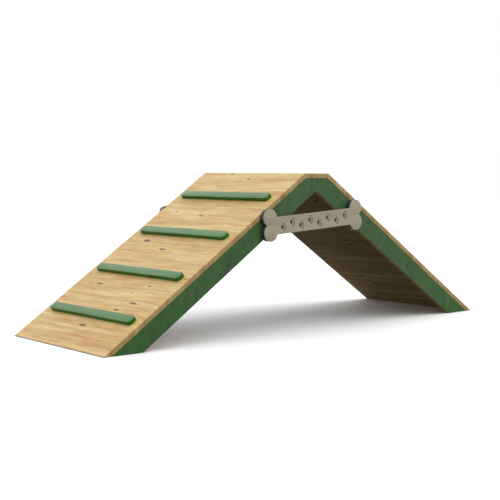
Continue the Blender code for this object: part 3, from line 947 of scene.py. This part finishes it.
@dataclass
class Ramp:
    """One ramp: its deck, four cleats, and the battens in the corners under it.

    cleat_marks gives the Y of a dark streak by the cleat's number. The grain of the cleats leans by
    cleat_lean and is read grain_step further into the wood from cleat to cleat. A cleat's top, which keeps
    full gloss, starts at the share top_from of its height and is full once top_over higher; below it the
    sides lose gloss and get a painted shade.
    """

    side: Side
    knots: tuple[Mark, ...]
    streaks: tuple[Mark, ...]
    pale: tuple[Mark, ...] = ()
    cleat_marks: dict[int, float] = field(default_factory=dict)
    cleat_count: int = 4
    cleat_width: float = 0.058
    cleat_length: float = 0.871
    cleat_height: float = 0.024
    cleat_corner: float = 0.022
    cleat_ease: float = 0.0020
    cleat_foot: float = 0.0006
    cleat_lean: float = 0.6
    grain_step: float = 3.7
    top_from: float = 0.86
    top_over: float = 0.12
    batten_size: float = 0.040
    batten_ease: float = 0.003
    batten_end_ease: float = 0.001
    shade_angle: float = 35

    @property
    def deck_axes(self) -> Axes:
        """Grain of the deck: across runs the level distance, stretched to the slope, and along it the width.

        Height counts as width too, so the bands of the top run on down the deck's edges.
        """
        sign = self.side.value
        sine, cosine, tangent = math.sin(HOUSE.slope), math.cos(HOUSE.slope), math.tan(HOUSE.slope)
        half = HOUSE.ridge_flat / 2
        top = HOUSE.ridge_height + half * tangent
        across = (sign / cosine, 0.0, 0.0)
        along = (sign * tangent, 1.0, 1.0)
        into = (-sign * sine, 0.0, -cosine)
        return Axes(across, along, into, (-half / cosine, -top, top * cosine))

    def build(self) -> None:
        """Dresses the deck and makes the cleats and battens."""
        name = f"{self.side.word}_deck"
        marked = (self.knots, self.streaks, self.pale)
        dress_node(name, Pine(f"{name}_pine", self.deck_axes, *marked, oil_depth=HOUSE.oil_depth))
        for number in range(1, self.cleat_count + 1):
            self.cleat(number)
        for facing in Facing:
            self.batten(facing)

    def bar(
        self, node: str, points: np.ndarray, faces: list[list[int]], glossy_unshaded_top: np.ndarray | None = None
    ) -> bpy.types.Object:
        """Makes a bar at a node's place.

        Args:
            node: the node.
            points: the bar's points about the origin, in the ramp's own frame.
            faces: corner numbers of each face.
            glossy_unshaded_top: how far each corner belongs to a cleat's top, which keeps full gloss while
                the sides get a painted shade, if the finish reads it.

        Returns:
            The bar.
        """
        place = np.array(Matrix.Translation(box_middle(node)) @ HOUSE.ramp_turn(self.side))
        points = points @ place[:3, :3].T + place[:3, 3]
        return mesh_of(f"{node}_bar", points, faces, self.shade_angle, glossy_unshaded_top)

    def cleat(self, number: int) -> None:
        """Makes a cleat: a rounded rectangle whose wall turns over in a quarter ellipse to a flat top.

        Args:
            number: its number, counted from the ridge.
        """
        node = f"{self.side.word}_cleat_{number}"
        outline = rounded_rectangle(self.cleat_width, self.cleat_length, self.cleat_corner, 10)
        angles = np.linspace(0, math.pi / 2, 7)
        inset = self.cleat_ease * (1 - np.cos(angles))
        height = self.cleat_height - self.cleat_ease * 0.8 * (1 - np.sin(angles))
        points, faces = slab([outline], [(self.cleat_foot, 0.0), (0.0, self.cleat_foot), *zip(inset, height)])
        # 1 on the top, which stays glossy and unshaded, and 0 down the sides, which get a painted shade
        glossy_unshaded_top = np.clip((points[:, 2] / self.cleat_height - self.top_from) / self.top_over, 0, 1)
        points[:, 2] -= self.cleat_height / 2
        sign, lean, step = self.side.value, self.cleat_lean, self.grain_step * number
        middle = box_middle(node)
        axes = Axes((sign, 0.0, -lean), ALONG_Y, UP, (-sign * middle.x + lean * middle.z, 0.0, step))
        found = [self.cleat_marks[number]] if number in self.cleat_marks else []
        deep = {'into': step + middle.z, 'deep': 0.05}
        streaks = tuple(Mark(0.0, along, wide=0.014, long=0.02, strength=0.7, **deep) for along in found)
        finish = GreenStain(f"{node}_green", axes, streaks=streaks, shaded_sides=True, gloss=0.38, roughness=0.36)
        finish_piece(self.bar(node, points, faces, glossy_unshaded_top), finish.material(), "cleat_green", node)

    def batten(self, facing: Facing) -> None:
        """Makes a batten: a square section with eased corners, drawn down the slope, with eased ends.

        Args:
            facing: the side of the house that it lies on.
        """
        node = f"{facing.word}_{self.side.word}_batten"
        low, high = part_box(node)
        sine, cosine = math.sin(HOUSE.slope), math.cos(HOUSE.slope)
        length = (high.x - low.x - self.batten_size * sine) / cosine
        outline = rounded_rectangle(self.batten_size, self.batten_size, self.batten_ease, 4)
        angles = np.linspace(0, math.pi / 2, 3)
        inset = self.batten_end_ease * (1 - np.sin(angles))
        height = self.batten_end_ease * (1 - np.cos(angles))
        profile = [*zip(inset, height), *zip(inset[::-1], length - height[::-1])]
        points, faces = slab([outline], profile)
        points[:, 2] -= length / 2
        sign = self.side.value
        offsets = (0.9 * facing.value, 0.0, 0.0)
        axes = Axes(ALONG_Y, (sign * cosine, 0.0, -sine), (sign * sine, 0.0, cosine), offsets)
        finish = Pine(f"{node}_pine", axes, **SAWN)
        finish_piece(self.bar(node, points[:, (2, 0, 1)], faces), finish.material(), "pine", node)


class Ridge:
    """The flat deck on the ridge and the beam that ties it to both ramps."""

    def build(self) -> None:
        """Dresses the ridge deck and the beam."""
        height = HOUSE.ridge_height
        deck = Axes(ALONG_X, (0.0, 1.0, 1.0), (0.0, 0.0, -1.0), (-HOUSE.ridge_flat / 2, -height, height))
        beam = Axes((1.0, 0.0, 0.35), ALONG_Y, UP, (0.4, 2.0, 0.0))
        dress_node("ridge_deck", Pine("ridge_deck_pine", deck, oil_depth=HOUSE.oil_depth))
        dress_node("ridge_beam", Pine("ridge_beam_pine", beam, **SAWN))


@dataclass
class SideBoards:
    """The boards under one long side: full cheeks on the near side, short ridge plates on the far side."""

    facing: Facing
    knots: dict[Side, tuple[Mark, ...]] = field(default_factory=dict)
    streaks: dict[Side, tuple[Mark, ...]] = field(default_factory=dict)
    left_lean: float = 0.2
    right_bow: float = 0.56
    depth_across: float = 0.12
    depth_along: float = 0.8

    def axes(self, side: Side) -> Axes:
        """Upright grain with its origin on the outward face. It leans on the left and bows on the right.

        Args:
            side: the ramp that the board stands under.

        Returns:
            The grain's axes.
        """
        lean, bow = (self.left_lean, 0.0) if side is Side.LEFT else (0.0, self.right_bow)
        face = self.facing.value * HOUSE.half_width
        across, along = self.depth_across, self.depth_along
        offsets = (-across * face, -along * face, -face)
        return Axes((1.0, across, -lean), (0.0, along, 1.0), ALONG_Y, offsets, -bow)

    def build(self) -> None:
        """Dresses both boards: green on the outward face, bare pine on the lower edge and behind."""
        kind = "cheek" if self.facing is Facing.NEAR else "ridge_plate"
        for side in Side:
            node = f"{self.facing.word}_{side.word}_{kind}"
            finish = GreenStain(
                f"{node}_green",
                self.axes(side),
                self.knots.get(side, ()),
                self.streaks.get(side, ()),
                base=(0.038, 0.122, 0.023),
                deep=(0.020, 0.074, 0.015),
                bright=(0.045, 0.146, 0.024),
                # share of painted sheen at the ridge
                fade=0.07,
                outward=self.facing,
                gloss=0.3,
                roughness=0.5,
            )
            dress_node(node, finish)


@dataclass
class BoneSign:
    """A bone-shaped sign: a beige skin with paw prints cut through it, over a thick dark core."""

    facing: Facing
    span: float = 0.719
    shaft_width: float = 0.105
    lobe_radius: float = 0.052
    lobe_overlap: float = 0.014
    lobe_lift: float = 0.006
    lobe_steps: int = 44
    edge_ease: float = 0.0007
    paw_count: int = 8
    paw_margin: float = 0.10
    paw_stagger: float = 0.012
    pad_length: float = 0.021
    pad_width: float = 0.027
    pad_setback: float = 0.008
    toe_length: float = 0.013
    toe_width: float = 0.0088
    toe_reach: float = 0.0245
    toe_angles: tuple[float, ...] = (-57.0, -19.0, 19.0, 57.0)
    toe_turn_share: float = 0.5

    def outline(self) -> np.ndarray:
        """Outline of the bone, anticlockwise: two arcs at the right end, mirrored to the left end.

        The lower arc runs from the shaft's lower corner round to the notch between the lobes, and the upper
        arc from the notch to the shaft's upper corner.
        """
        radius, lift = self.lobe_radius, self.lobe_lift
        rise = radius - self.lobe_overlap / 2
        notch = math.asin(rise / radius)
        upper = math.asin((self.shaft_width / 2 - rise - lift) / radius)
        lower = math.asin((self.shaft_width / 2 - rise + lift) / radius)
        end, steps = self.span / 2, self.lobe_steps
        low = arc((end, lift - rise), radius, np.linspace(-math.pi + lower, notch, steps))
        high = arc((end, lift + rise), radius, np.linspace(-notch, math.pi - upper, steps))
        right = np.concatenate((low, high[1:]))
        return np.concatenate((right, right[::-1] * np.array((-1.0, 1.0))))

    def paws(self) -> list[np.ndarray]:
        """Outlines of the pads and toes, clockwise: a trail that walks from left to right."""
        found = []
        end = self.span / 2 - self.paw_margin
        for index, along in enumerate(np.linspace(-end, end, self.paw_count)):
            up = self.paw_stagger * (1 if index % 2 else -1)
            pad = np.array((along - self.pad_setback, up))
            found.append(ellipse(pad, self.pad_length, self.pad_width, 0.0, 32))
            angles = np.radians(self.toe_angles)
            for angle, toe in zip(angles, arc(pad, self.toe_reach, angles)):
                found.append(ellipse(toe, self.toe_length, self.toe_width, angle * self.toe_turn_share, 20))
        return found

    def placed(self, points: np.ndarray, node: str) -> np.ndarray:
        """Points of the sign's own plane, with their depth from the back face, carried to the node's place.

        Args:
            points: (along, up, depth) rows.
            node: the node whose box gives the place.

        Returns:
            The points in world space.
        """
        low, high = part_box(node)
        middle = (low + high) / 2
        level = turned(points[:, :2] - np.array((0.0, self.lobe_lift)), HOUSE.sign_tilt)
        level += np.array((middle.x, middle.z))
        inner = low.y if self.facing is Facing.FAR else high.y
        return np.column_stack((level[:, 0], inner + self.facing.value * points[:, 2], level[:, 1]))

    def build(self) -> None:
        """Makes the core and the skin of the sign."""
        for part, slot, outlines, ease, finish in (
            ("core", "sign_dark", [self.outline()], self.edge_ease / 2, DARK_SHEET),
            ("face", "sign_beige", [self.outline(), *self.paws()], self.edge_ease, BEIGE_SHEET),
        ):
            node = f"{self.facing.word}_sign_{part}"
            low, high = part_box(node)
            thickness = high.y - low.y
            rim = thickness - ease
            profile = [(0.0, 0.0), (0.0, rim), (ease * 0.3, thickness - ease * 0.3), (ease, thickness)]
            points, faces = slab(outlines, profile)
            piece = mesh_of(f"{node}_sheet", self.placed(points, node), faces, 30)
            finish_piece(piece, finish.material(), slot, node)


def ellipse(middle: np.ndarray, length: float, width: float, turn: float, steps: int) -> np.ndarray:
    """Outline of an ellipse, clockwise: middle + (length/2 cos, width/2 sin) of a falling angle, turned."""
    angle = -2 * math.pi * np.arange(steps) / steps
    return middle + turned(np.stack((length / 2 * np.cos(angle), width / 2 * np.sin(angle)), 1), turn)


@dataclass
class WoodScrew:
    """A countersunk wood screw with a cross recess and a rolled thread, on the place of a plain one."""

    node: str
    head_radius: float = 0.0046
    head_depth: float = 0.003
    head_rim: float = 0.0002
    crest: float = 0.00228
    root: float = 0.0016
    waist: float = 0.0003
    pitch: float = 0.0024
    smooth_share: float = 0.35
    point_length: float = 0.005
    sides: int = 32
    rows_a_turn: int = 6
    recess_width: float = 0.0011
    recess_length: float = 0.0056
    recess_depth: float = 0.0016

    def place(self) -> tuple[np.ndarray, np.ndarray, float]:
        """Reads where the plain screw lies.

        Returns:
            The middle of its head's flat top, its direction from head to tip, and its length.
        """
        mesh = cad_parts[self.node].data
        points = np.empty(len(mesh.vertices) * 3)
        mesh.vertices.foreach_get("co", points)
        points = points.reshape(-1, 3)
        middle = (points.min(0) + points.max(0)) / 2
        axis = np.linalg.svd(points - points.mean(0), full_matrices=False)[2][0]
        along = (points - middle) @ axis
        radius = np.linalg.norm(points - middle - np.outer(along, axis), axis=1)
        if along[np.argmax(radius)] > 0:
            axis, along = -axis, -along
        return middle + axis * along.min(), axis, float(along.max() - along.min())

    def head_top(self) -> np.ndarray:
        """Rows of the head's flat top from the middle outwards, sunk where the cross recess lies.

        Depth is the recess depth x a smooth step across the arm, which fades towards the arm's end.
        """
        reach = np.linspace(0, 1, 13)[:, None] * self.head_radius
        angle = 2 * math.pi * np.arange(self.sides)[None, :] / self.sides
        x, y = reach * np.cos(angle), reach * np.sin(angle)
        depth = np.zeros_like(x)
        for side, run in ((x, y), (y, x)):
            across = np.clip(1.5 - np.abs(side) / (self.recess_width / 2), 0, 1)
            fade = np.clip((self.recess_length / 2 - np.abs(run)) / (self.recess_length / 4), 0, 1)
            depth = np.maximum(depth, across * fade)
        return np.stack((x, y, self.recess_depth * depth), -1)

    def shank(self, length: float) -> np.ndarray:
        """Rows of the screw below the head's rim.

        Radius is the cone of the head, then the smooth shank, then root + (crest - root) x a triangle wave of
        (depth / pitch - turn), drawn in towards the point.

        Args:
            length: the screw's length.

        Returns:
            The rows of points.
        """
        start = self.head_depth + (length - self.head_depth) * self.smooth_share
        thread = np.arange(start, length, self.pitch / self.rows_a_turn)
        depth = np.concatenate(([self.head_rim, self.head_depth, start - 0.0004], thread, [length]))[:, None]
        turn = np.arange(self.sides)[None, :] / self.sides
        wave = 1 - np.abs(2 * np.mod(depth / self.pitch - turn, 1.0) - 1)
        radius = self.root + (self.crest - self.root) * np.clip(2.4 * wave - 1.4, 0, 1)
        radius[1:3] = self.crest - self.waist
        radius[0] = self.head_radius
        drawn = np.clip((length - depth) / self.point_length, 0, 1) ** 0.7
        radius = radius * np.where(depth > start, drawn, 1.0)
        angle = 2 * math.pi * turn
        return np.stack((radius * np.cos(angle), radius * np.sin(angle), depth + 0 * radius), -1)

    def build(self, material: bpy.types.Material) -> None:
        """Makes the screw.

        Args:
            material: its finish, shared by all screws.
        """
        top, axis, length = self.place()
        rows = np.concatenate((self.head_top(), self.shank(length)))
        side = np.cross(axis, ALONG_Y if abs(axis[1]) < 0.9 else ALONG_X)
        side /= np.linalg.norm(side)
        points = top + rows.reshape(-1, 3) @ np.stack((side, np.cross(axis, side), axis))
        piece = mesh_of(f"{self.node}_threaded", points, strip_faces(*rows.shape[:2]), 45)
        finish_piece(piece, material, "screw_zinc", self.node)


@dataclass(frozen=True)
class Lamp:
    """A far lamp with a broad face: its direction from straight up and round from +X, and its width."""

    name: str
    energy: float
    tilt: float
    azimuth: float
    spread: float

    def build(self) -> None:
        """Adds the lamp."""
        light = bpy.data.lights.new(self.name, 'SUN')
        light.energy = self.energy
        light.angle = math.radians(self.spread)
        lamp = bpy.data.objects.new(self.name, light)
        tilt, azimuth = math.radians(self.tilt), math.radians(self.azimuth)
        flat = math.sin(tilt)
        towards = Vector((flat * math.cos(azimuth), flat * math.sin(azimuth), math.cos(tilt)))
        lamp.rotation_euler = towards.to_track_quat('Z', 'Y').to_euler()
        bpy.context.scene.collection.objects.link(lamp)


@dataclass
class Studio:
    """White floor and backdrop, a soft dome that is brighter overhead, two broad lamps, and the camera."""

    dome: float = 0.62
    overhead: float = 1.45
    overhead_power: float = 3.7
    lamps: tuple[Lamp, ...] = (Lamp("back_lamp", 1.59, 82, 60, 40), Lamp("front_lamp", 0.354, 45, 300, 40))
    floor_rings: tuple[float, ...] = (0.5, 1.5, 4.0, 12.0, 40.0)
    floor_sides: int = 96
    floor_bounce: float = 0.12
    camera_place: Triple = (-4.5118, -5.27469, 0.97531)
    camera_yaw: float = 0.73376
    camera_pitch: float = 0.12667
    camera_roll: float = 0.00519
    focal_pixels: float = 1054.384
    camera_shift: tuple[float, float] = (-0.08238, 0.11671)
    image_pixels: float = 500.0
    sensor: float = 36.0

    def build(self) -> None:
        """Makes the floor, the lights and the camera, and sets the plain view."""
        self.floor()
        self.world()
        for lamp in self.lamps:
            lamp.build()
        self.camera()
        bpy.context.scene.view_settings.view_transform = 'Standard'

    def floor(self) -> None:
        """Makes a round floor. It is white to the eye and in reflections, and throws little light back."""
        sides = self.floor_sides
        angle = np.linspace(0, 2 * math.pi, sides, endpoint=False)
        x, y = np.outer(self.floor_rings, np.cos(angle)), np.outer(self.floor_rings, np.sin(angle))
        points = np.concatenate((np.stack((x, y, np.zeros_like(x)), -1).reshape(-1, 3), [(0.0, 0.0, 0.0)]))
        faces = strip_faces(len(x), sides)
        faces += [[len(points) - 1, index, (index + 1) % sides] for index in range(sides)]
        piece = mesh_of("floor", points, faces, 30)
        if piece.data.polygons[0].normal.z < 0:
            piece.data.flip_normals()
        material = bpy.data.materials.new("floor_white")
        material.use_nodes = True
        graph = Graph(material.node_tree)
        nodes = material.node_tree.nodes
        nodes.remove(nodes['Principled BSDF'])
        white = graph.blend(self.seen(graph), (self.floor_bounce,) * 3, (1.0, 1.0, 1.0))
        shade = graph.node('BsdfDiffuse', {'Color': white})
        graph.fill(nodes['Material Output'], {'Surface': shade.outputs[0]})
        piece.data.materials.append(material)

    @staticmethod
    def seen(graph: Graph) -> Socket:
        """Tells the rays that the eye sees, straight, mirrored or through glass, from the others.

        Args:
            graph: the material's graph.

        Returns:
            1 for those rays and 0 for the others.
        """
        path = graph.node('LightPath', {}).outputs
        mirrored = graph.math('MAXIMUM', path['Is Glossy Ray'], path['Is Transmission Ray'])
        return graph.math('MAXIMUM', path['Is Camera Ray'], mirrored)

    def world(self) -> None:
        """Lights the object with a white dome above the horizon, and shows plain white behind it."""
        world = bpy.data.worlds.new("white_dome")
        world.use_nodes = True
        bpy.context.scene.world = world
        graph = Graph(world.node_tree)
        height = graph.parts(graph.node('TexCoord', {}).outputs['Generated'])[2]
        top = graph.math('POWER', graph.math('MAXIMUM', height, 0.0), self.overhead_power)
        dome = graph.times(graph.math('GREATER_THAN', height, 0.0), self.dome)
        strength = graph.math('MULTIPLY_ADD', top, self.overhead, dome)
        shown = {'Color': (1.0, 1.0, 1.0), 'Strength': graph.math('MAXIMUM', strength, self.seen(graph))}
        graph.fill(world.node_tree.nodes['Background'], shown)

    def camera(self) -> None:
        """Adds the camera from its place, its turn about Z, its dip and its roll."""
        dip, yaw, roll = self.camera_pitch, self.camera_yaw, self.camera_roll
        ahead = Vector((math.sin(yaw) * math.cos(dip), math.cos(yaw) * math.cos(dip), -math.sin(dip)))
        right = Vector((math.cos(yaw), -math.sin(yaw), 0.0))
        upward = right.cross(ahead)
        rolled_right = math.cos(roll) * right + math.sin(roll) * upward
        rolled_up = math.cos(roll) * upward - math.sin(roll) * right
        turn = Matrix((rolled_right, rolled_up, -ahead)).transposed().to_4x4()
        data = bpy.data.cameras.new("camera")
        data.sensor_width = self.sensor
        data.lens = self.focal_pixels * self.sensor / self.image_pixels
        data.shift_x, data.shift_y = self.camera_shift
        camera = bpy.data.objects.new("camera", data)
        camera.matrix_world = Matrix.Translation(self.camera_place) @ turn
        bpy.context.scene.collection.objects.link(camera)
        bpy.context.scene.camera = camera


DARK_SHEET = SignSheet("sign_dark_look", (0.034, 0.043, 0.052), (0.048, 0.060, 0.072), 0.16, 0.3, 0.00004)
BEIGE_SHEET = SignSheet("sign_beige_look", (0.49, 0.418, 0.30), (0.53, 0.456, 0.335), 0.5, 0.6, 0.00012)

# Knots on the left ramp's top: down the slope, across the ramp, half width, half length and strength
LEFT_KNOTS = marks(
    (13, 190, 10, 22, 0.75), (69, -33, 11, 20, 0.8), (172, -228, 6, 10, 0.5), (367, -108, 7, 17, 0.85),
    (448, 319, 7, 18, 0.85), (476, 28, 10, 24, 0.85), (480, -289, 8, 16, 0.3), (522, 306, 8, 22, 0.25),
    (592, -428, 6, 11, 0.6), (763, 278, 14, 36, 1.0), (830, 36, 10, 32, 1.0), (828, 422, 5, 9, 0.5),
    (844, -398, 9, 24, 0.2), (872, -133, 4, 10, 0.45), (926, -239, 4, 14, 0.7), (1164, -233, 7, 24, 0.8),
    (1200, 256, 9, 36, 1.0), (1237, -139, 5, 14, 0.7), (1320, -253, 9, 40, 1.0), (1391, -167, 9, 34, 0.95),
    (1406, 487, 6, 16, 0.6), (1553, -17, 10, 42, 1.0), (425, 0, 4, 8, 0.3), (1067, -484, 7, 30, 0.55),
)

# Amber streaks on the left ramp's top, drawn out along the grain
LEFT_STREAKS = marks(
    (20, 360, 20, 200, 0.40), (82, -300, 14, 260, 0.4), (60, 50, 10, 200, 0.8), (582, 400, 16, 220, 0.85),
    (466, -140, 8, 180, 0.5), (722, 0, 18, 420, 0.55), (715, 340, 10, 140, 0.5), (850, 20, 9, 300, 0.6),
    (968, 240, 16, 240, 1.0), (985, -200, 10, 240, 0.6), (1300, 160, 16, 260, 0.65),
    (1200, -60, 10, 220, 1.0), (1405, -360, 10, 160, 0.7), (1540, 200, 14, 140, 0.4),
    (1545, -240, 9, 160, 0.85), (1640, -50, 13, 380, 1.1), (1068, -420, 10, 90, 0.6),
)

# Pale cream patches on the left ramp's top
LEFT_PALE = marks(
    (500, 100, 26, 160, 0.45), (440, -80, 12, 50, 0.5), (485, -290, 10, 60, 0.5), (846, -400, 12, 60, 0.6),
    (832, 100, 10, 100, 0.5), (855, 160, 8, 60, 0.4), (1375, -200, 14, 120, 0.45), (1540, -260, 16, 100, 0.4),
    (1575, 180, 20, 160, 0.4), (520, 310, 12, 50, 0.4),
)

# Knots and bands of the right ramp, first those on its underside and then those on its top
RIGHT_KNOTS = marks(
    (267, -187, 12, 34, 0.9), (827, -55, 10, 34, 1.0), (1057, 403, 10, 30, 0.9), (1310, 225, 9, 32, 0.9),
    (1394, 143, 9, 32, 1.0), (1470, 256, 8, 26, 0.7), (1554, -29, 9, 34, 0.8), (1186, -297, 7, 26, 0.6),
    into=28,
) + marks(
    (210, 230, 10, 30, 0.9), (470, -260, 11, 34, 1.0), (640, 130, 8, 26, 0.8), (905, 340, 10, 36, 1.0),
    (1060, -120, 7, 24, 0.8), (1330, 50, 10, 38, 1.0), (1480, -370, 8, 28, 0.8),
)
RIGHT_STREAKS = marks(
    (715, 20, 14, 340, 0.7), (837, 170, 12, 200, 0.5), (967, -80, 16, 360, 0.8), (1078, 70, 15, 380, 0.8),
    (1194, 70, 12, 240, 0.5), (1293, -150, 17, 280, 0.9), (1410, 170, 15, 320, 0.8),
    (1538, -80, 13, 360, 0.7), (1622, -30, 12, 400, 0.6),
    into=28,
) + marks(
    (130, -100, 14, 300, 0.5), (560, 200, 14, 260, 0.6), (800, -250, 12, 240, 0.5), (1180, 250, 16, 220, 0.6),
    (1560, -50, 12, 340, 0.5),
)

# Knots and checks in the green stain of the near side: across the leaning grain, height, and sizes as above
NEAR_KNOTS = {
    Side.LEFT: marks((-1149, 245, 6, 16, 0.8), (-989, 286, 10, 8, 0.7), (-700, 565, 8, 12, 1.0), deep=50),
    Side.RIGHT: marks((778, 361, 7, 14, 1.0), (1128, 142, 3.5, 32, 1.0), (1246, 60, 3.5, 25, 1.0), deep=50),
}
NEAR_STREAKS = {
    Side.LEFT: marks(
        (-1253, 110, 16, 120, 0.95), (-989, 300, 20, 35, 0.7), (-900, 420, 12, 100, 0.6),
        (-560, 700, 14, 80, 0.7),
        deep=50,
    ),
    Side.RIGHT: marks(
        (235, 636, 12, 60, 0.8), (398, 570, 16, 80, 0.9), (640, 470, 12, 90, 0.85), (778, 390, 20, 60, 1.0),
        (1160, 120, 12, 100, 0.7),
        deep=50,
    ),
}


def main() -> None:
    """Builds the house and the studio."""
    logging.basicConfig(level=logging.INFO, format="%(name)s %(message)s")
    Studio().build()
    Ramp(Side.LEFT, LEFT_KNOTS, LEFT_STREAKS, LEFT_PALE, cleat_marks={1: -0.044, 2: -0.28}).build()
    Ramp(Side.RIGHT, RIGHT_KNOTS, RIGHT_STREAKS).build()
    Ridge().build()
    SideBoards(Facing.NEAR, NEAR_KNOTS, NEAR_STREAKS).build()
    SideBoards(Facing.FAR).build()
    for facing in Facing:
        BoneSign(facing).build()
    zinc = Zinc("screw_zinc_look").material()
    for node in sorted(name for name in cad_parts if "_screw_" in name):
        WoodScrew(node).build(zinc)


if __name__ == "__main__":
    main()
